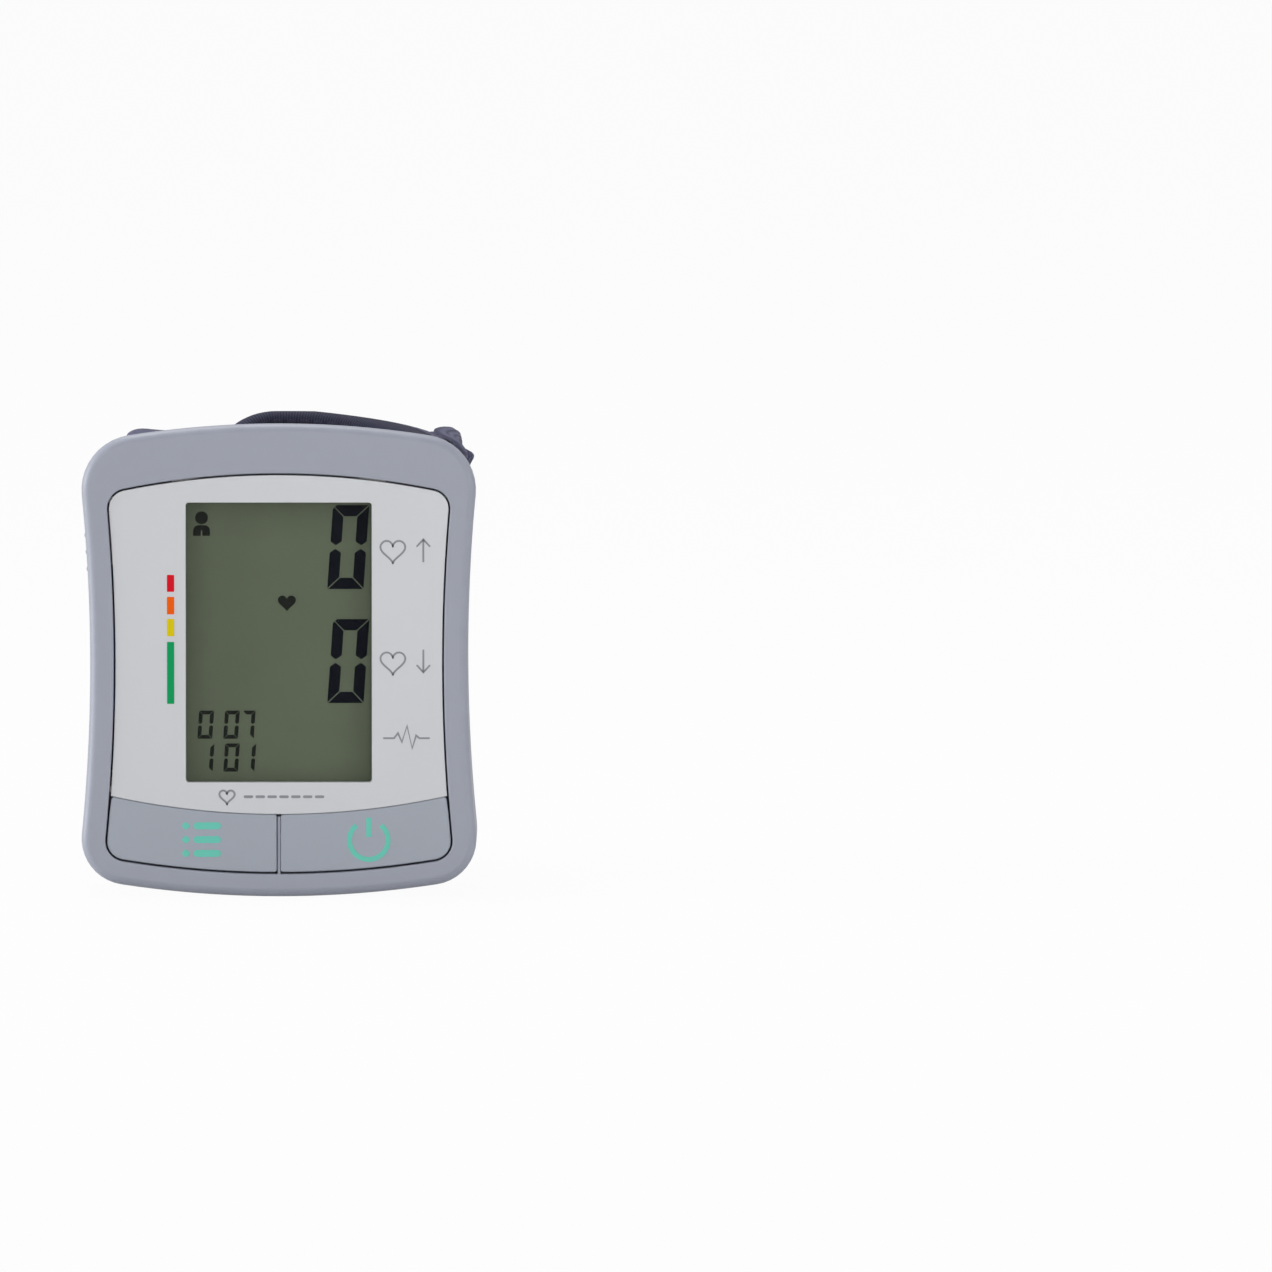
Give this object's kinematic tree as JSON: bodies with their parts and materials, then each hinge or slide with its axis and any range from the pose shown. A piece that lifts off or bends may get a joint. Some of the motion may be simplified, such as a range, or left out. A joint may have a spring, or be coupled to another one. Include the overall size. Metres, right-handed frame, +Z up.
{
  "type": "wrist blood pressure monitor",
  "caption": "Wrist blood pressure monitor: a waisted grey case with a segment display and a pair of keys, on a padded cuff that wraps the wrist and closes with a hook strap.",
  "frame": {"origin": "bottom centre of the bounding box of the monitor standing on its lower edge with the cuff closed", "axes": "+Z up along the case's height, -Y the way the display faces, +X to the right of someone reading the display"},
  "size_m": [0.0698, 0.0901, 0.084],
  "materials": {
    "case": "satin blue-grey moulded plastic",
    "face_plate": "smooth pale plate with printed marks",
    "window": "clear polished sheet",
    "keys": "satin moulded plastic",
    "screws": "plated steel",
    "lcd": "grey-green reflective display",
    "inner_white": "moulded plastic",
    "inner_rubber": "soft rubber",
    "inner_black": "moulded plastic",
    "board": "lacquered circuit board",
    "brass_disc": "thin disc",
    "motor": "plated can",
    "tubes": "translucent silicone",
    "lead_red": "insulated wire",
    "cells": "shrink-wrapped cell",
    "contacts": "nickel plated",
    "cuff_plate": "moulded plastic",
    "cuff_cloth": "ribbed dark navy cloth",
    "cuff_trim": "woven grey-violet tape and strap cloth",
    "bladder": "soft sheet",
    "hook": "hook tape"
  },
  "bodies": {
    "case": {"front_case": "case", "rear_cover": "case", "face_plate": "face_plate", "display_window": "window", "case_screw_1": "screws", "case_screw_2": "screws", "case_screw_3": "screws", "case_screw_4": "screws", "board_screw_1": "screws", "board_screw_2": "screws", "lcd_panel": "lcd", "lcd_holder": "inner_white", "contact_strip": "inner_rubber", "main_board": "board", "memory_switch": "inner_black", "power_switch": "inner_black", "controller_chip": "inner_black", "buzzer": "brass_disc", "pressure_sensor": "inner_black", "pump_motor": "motor", "pump_head": "inner_black", "pump_diaphragm": "tubes", "exhaust_valve": "motor", "air_manifold": "inner_white", "pump_tube": "tubes", "sensor_tube": "tubes", "valve_tube": "tubes", "cuff_tube": "tubes", "cuff_port": "inner_white", "pump_lead_red": "lead_red", "pump_lead_black": "inner_rubber", "battery_tray": "inner_white", "cell_front": "cells", "cell_rear": "cells", "battery_spring_front": "contacts", "battery_spring_rear": "contacts", "battery_contact_front": "contacts", "battery_contact_rear": "contacts", "cuff_plate": "cuff_plate", "cuff_cover": "cuff_cloth", "cuff_stiffener": "inner_white", "cuff_bladder": "bladder", "cuff_liner": "cuff_cloth", "cuff_binding_top": "cuff_trim", "cuff_binding_bottom": "cuff_trim", "loop_patch": "cuff_cloth", "strap_root": "cuff_trim"},
    "memory_key": {"memory_button": "keys", "memory_plunger": "inner_white"},
    "power_key": {"power_button": "keys", "power_plunger": "inner_white"},
    "battery_lid": {"battery_door": "case"},
    "strap_front": {"strap_middle": "cuff_trim"},
    "strap_tail": {"strap_end": "cuff_trim", "hook_patch": "hook"},
    "pump_rotor": {"pump_eccentric": "inner_white"},
    "valve_armature": {"valve_plunger": "screws"}
  },
  "joints": [
    {"name": "memory_press", "type": "slide", "parent": "case", "child": "memory_key", "axis": [0, 1, 0], "range_m": [0, 0.0008], "stiffness_N_per_m": 1800},
    {"name": "power_press", "type": "slide", "parent": "case", "child": "power_key", "axis": [0, 1, 0], "range_m": [0, 0.0008], "stiffness_N_per_m": 1800},
    {"name": "battery_lid_pull", "type": "slide", "parent": "case", "child": "battery_lid", "axis": [-1, 0, 0], "range_m": [0, 0.03]},
    {"name": "strap_bend", "type": "hinge", "parent": "case", "child": "strap_front", "pos_m": [-0.03058, -0.00471, 0.04], "axis": [0, 0, 1], "range_deg": [0, 40]},
    {"name": "strap_open", "type": "hinge", "parent": "strap_front", "child": "strap_tail", "pos_m": [-0.02337, 0.03526, 0.04], "axis": [0, 0, 1], "range_deg": [0, 80]},
    {"name": "pump_spin", "type": "hinge", "parent": "case", "child": "pump_rotor", "pos_m": [0.0205, -0.02675, 0.034], "axis": [0, 0, 1], "continuous": true},
    {"name": "valve_lift", "type": "slide", "parent": "case", "child": "valve_armature", "axis": [0, 0, 1], "range_m": [0, 0.0008], "stiffness_N_per_m": 300}
  ],
  "couplings": [
    {"joint": "strap_bend", "follows": "strap_open", "ratio": 0.5}
  ]
}
